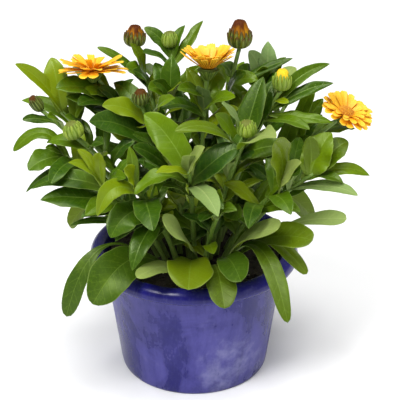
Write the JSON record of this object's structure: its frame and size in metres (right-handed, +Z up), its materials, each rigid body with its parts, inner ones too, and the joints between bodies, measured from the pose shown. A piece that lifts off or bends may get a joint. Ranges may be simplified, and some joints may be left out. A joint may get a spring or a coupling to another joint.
{
  "type": "potted african daisy",
  "caption": "Round rimmed plastic pot of compost holding a bushy daisy with open flower heads, closed buds, leafy shoots and broad basal leaves over the rim.",
  "frame": {"origin": "centre of the pot's underside", "axes": "+Z up; -Y is the side that faces the viewer, where the pale broad basal leaves lie over the rim; +X to that viewer's right"},
  "size_m": [0.3258, 0.26, 0.3381],
  "materials": {
    "pot": "satin",
    "compost": "matte",
    "foliage": "satin",
    "basal_leaf": "satin",
    "petal": "satin",
    "disc": "matte",
    "bud": "satin"
  },
  "bodies": {
    "root": {"pot": "pot", "compost": "compost", "basal_leaf_left": "basal_leaf", "basal_leaf_front_left": "basal_leaf", "basal_leaf_front_pale": "basal_leaf", "basal_leaf_front_yellow": "basal_leaf", "basal_leaf_front_low": "basal_leaf", "basal_leaf_front_dark": "basal_leaf", "basal_leaf_front_right": "basal_leaf", "basal_leaf_right_narrow": "basal_leaf", "basal_leaf_right_pale": "basal_leaf", "basal_leaf_right_broad": "basal_leaf", "basal_leaf_right_spoon": "basal_leaf", "basal_leaf_centre_pale": "basal_leaf", "basal_leaf_back_right": "basal_leaf", "basal_leaf_back_far_right": "basal_leaf", "basal_leaf_back": "basal_leaf", "basal_leaf_back_far_left": "basal_leaf", "basal_leaf_back_left": "basal_leaf", "flower_left_shoot": "foliage", "flower_left_rays": "petal", "flower_left_disc": "disc", "flower_centre_shoot": "foliage", "flower_centre_rays": "petal", "flower_centre_disc": "disc", "flower_right_shoot": "foliage", "flower_right_rays": "petal", "flower_right_disc": "disc", "bud_tall_shoot": "foliage", "bud_tall_head": "bud", "bud_back_left_shoot": "foliage", "bud_back_left_head": "bud", "bud_back_shoot": "foliage", "bud_back_head": "bud", "bud_right_shoot": "foliage", "bud_right_head": "bud", "bud_round_shoot": "foliage", "bud_round_head": "bud", "bud_left_shoot": "foliage", "bud_left_head": "bud", "bud_middle_shoot": "foliage", "bud_middle_head": "bud", "bud_withered_shoot": "foliage", "bud_withered_head": "bud", "shoot_left_high": "foliage", "shoot_left_mid": "foliage", "shoot_left_low": "foliage", "shoot_front_left": "foliage", "shoot_front_centre": "foliage", "shoot_right_front": "foliage", "shoot_right_mid": "foliage", "shoot_middle_right": "foliage", "shoot_middle": "foliage", "shoot_upper_centre": "foliage", "shoot_upper_right": "foliage", "shoot_low_centre": "foliage", "shoot_back_left": "foliage", "shoot_back": "foliage", "shoot_back_centre": "foliage", "shoot_back_right": "foliage"}
  },
  "joints": []
}
